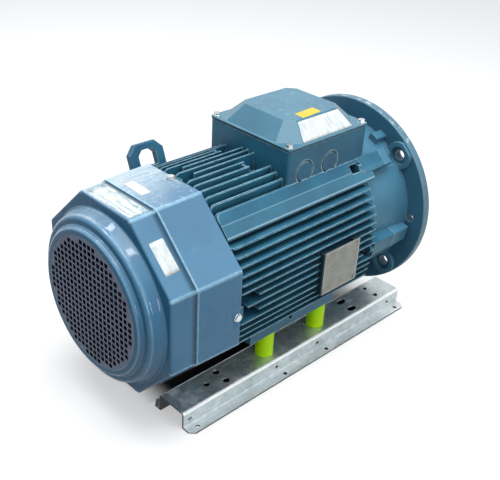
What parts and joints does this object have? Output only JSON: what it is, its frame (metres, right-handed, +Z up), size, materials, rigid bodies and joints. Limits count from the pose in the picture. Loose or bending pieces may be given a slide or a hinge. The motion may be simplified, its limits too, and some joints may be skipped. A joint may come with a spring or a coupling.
{
  "type": "three-phase electric motor",
  "caption": "Totally enclosed fan-cooled squirrel-cage motor with a drive-end flange, ribbed frame, terminal box on top and a fan cover, set on base rails.",
  "frame": {"origin": "centre of the mounting flange's bolt circle, on the flange's mounting face and the shaft's axis", "axes": "+X along the shaft, out of the drive end; +Z up, towards the terminal box; the nameplate faces -Y"},
  "size_m": [0.6915, 0.35, 0.4165],
  "materials": {
    "frame_paint": "satin teal-blue enamel over a casting",
    "cover_paint": "glossy steel-blue enamel over pressed sheet",
    "lid_paint": "satin blue enamel over a die casting",
    "grille_steel": "dark coated perforated sheet",
    "galvanised": "hot-dip galvanised sheet, dull and mottled",
    "sleeve_green": "glossy lime green coating",
    "zinc": "bright zinc plate",
    "plate_steel": "brushed, blank",
    "lamination": "varnished sheet edges",
    "winding": "varnished copper wire, bound",
    "cast_grey": "machined casting",
    "bearing_steel": "ground and polished",
    "spring_steel": "oil blackened",
    "cage_brass": "turned",
    "brass": "bright turned",
    "gasket_rubber": "matt",
    "board": "brown moulding",
    "shaft_steel": "ground",
    "cage_aluminium": "die cast",
    "fan_plastic": "black moulding"
  },
  "bodies": {
    "stator": {"stator_housing": "frame_paint", "stator_core": "lamination", "stator_winding": "winding", "drive_end_flange_shield": "frame_paint", "drive_end_shield_screws": "zinc", "fan_end_shield": "frame_paint", "fan_end_shield_screws": "zinc", "drive_end_bearing_cover": "cast_grey", "fan_end_bearing_cover": "cast_grey", "bearing_cover_screws": "zinc", "drive_end_outer_ring": "bearing_steel", "fan_end_outer_ring": "bearing_steel", "wave_spring": "spring_steel", "fan_cover": "cover_paint", "fan_inlet_grille": "grille_steel", "fan_cover_screws": "zinc", "terminal_box_lid": "lid_paint", "lid_gasket": "gasket_rubber", "lid_screws": "zinc", "terminal_board": "board", "terminal_studs": "brass", "terminal_links": "brass", "terminal_nuts": "brass", "earth_screw": "brass", "nameplate": "plate_steel", "nameplate_rivets": "zinc", "lifting_lug": "frame_paint", "lifting_lug_studs": "zinc", "near_base_rail": "galvanised", "far_base_rail": "galvanised", "spacer_sleeves": "sleeve_green", "sleeve_bolts": "zinc"},
    "rotor": {"shaft": "shaft_steel", "rotor_core": "lamination", "rotor_cage": "cage_aluminium", "drive_end_inner_ring": "bearing_steel", "fan_end_inner_ring": "bearing_steel", "bearing_circlip": "spring_steel", "fan_circlip": "spring_steel", "fan_key": "shaft_steel", "cooling_fan": "fan_plastic", "drive_end_seal_ring": "gasket_rubber", "fan_end_seal_ring": "gasket_rubber"},
    "drive_end_cage": {"drive_end_balls": "bearing_steel", "drive_end_ball_cage": "cage_brass"},
    "fan_end_cage": {"fan_end_balls": "bearing_steel", "fan_end_ball_cage": "cage_brass"}
  },
  "joints": [
    {"name": "rotor_spin", "type": "hinge", "parent": "stator", "child": "rotor", "pos_m": [0, 0, 0], "axis": [1, 0, 0], "continuous": true},
    {"name": "drive_end_cage_spin", "type": "hinge", "parent": "stator", "child": "drive_end_cage", "pos_m": [-0.0495, 0, 0], "axis": [1, 0, 0], "continuous": true},
    {"name": "fan_end_cage_spin", "type": "hinge", "parent": "stator", "child": "fan_end_cage", "pos_m": [-0.4495, 0, 0], "axis": [1, 0, 0], "continuous": true}
  ],
  "couplings": [
    {"joint": "drive_end_cage_spin", "follows": "rotor_spin", "ratio": 0.3796},
    {"joint": "fan_end_cage_spin", "follows": "rotor_spin", "ratio": 0.4023}
  ]
}
